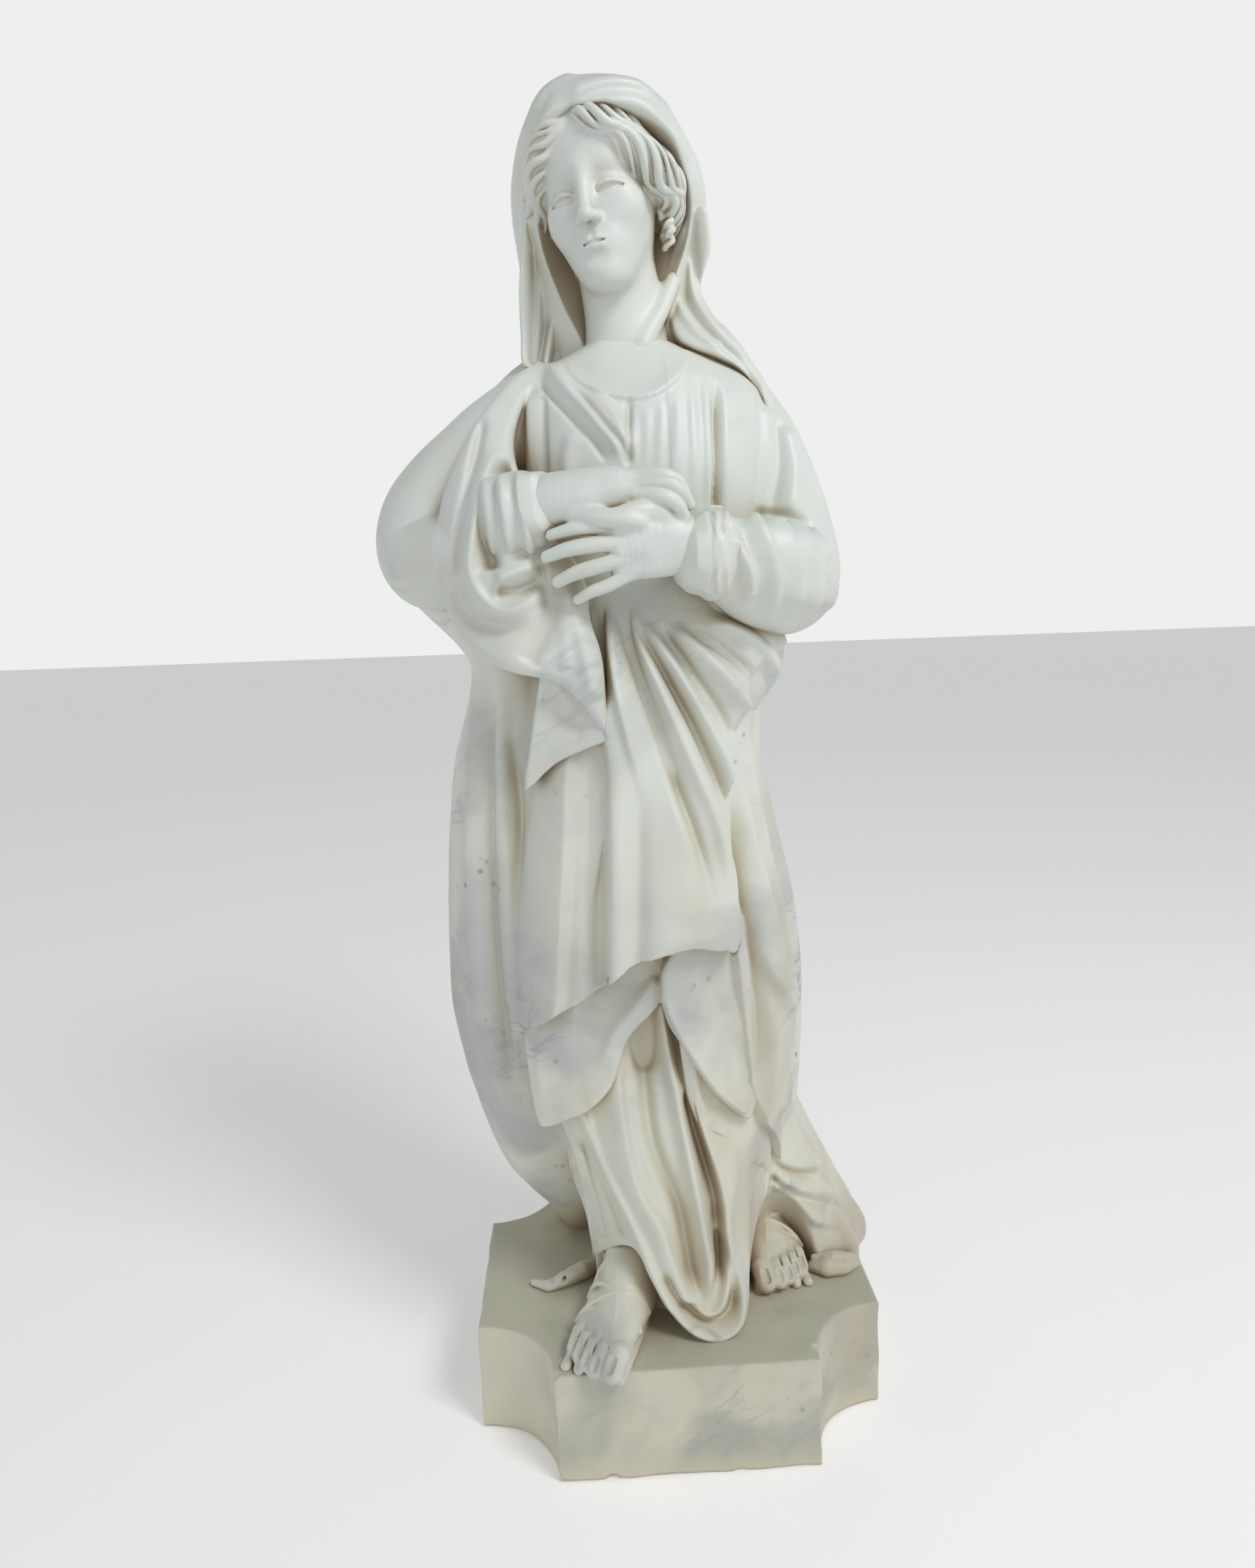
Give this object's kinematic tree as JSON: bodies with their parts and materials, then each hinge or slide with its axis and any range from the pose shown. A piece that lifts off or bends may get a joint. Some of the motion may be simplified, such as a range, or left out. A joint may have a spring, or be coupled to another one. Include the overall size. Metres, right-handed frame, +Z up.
{
  "type": "marble statue",
  "caption": "White marble statue of a veiled, draped woman standing with her hands crossed before her, on a low plinth with scooped corners.",
  "frame": {"origin": "middle of the plinth's underside", "axes": "+Z up; the figure faces -Y, so +X is on her left"},
  "size_m": [0.3988, 0.3006, 1.09],
  "materials": {
    "marble": "white marble with faint grey veins, carved and rubbed to a soft polish"
  },
  "bodies": {
    "root": {"statue": "marble"}
  },
  "joints": []
}
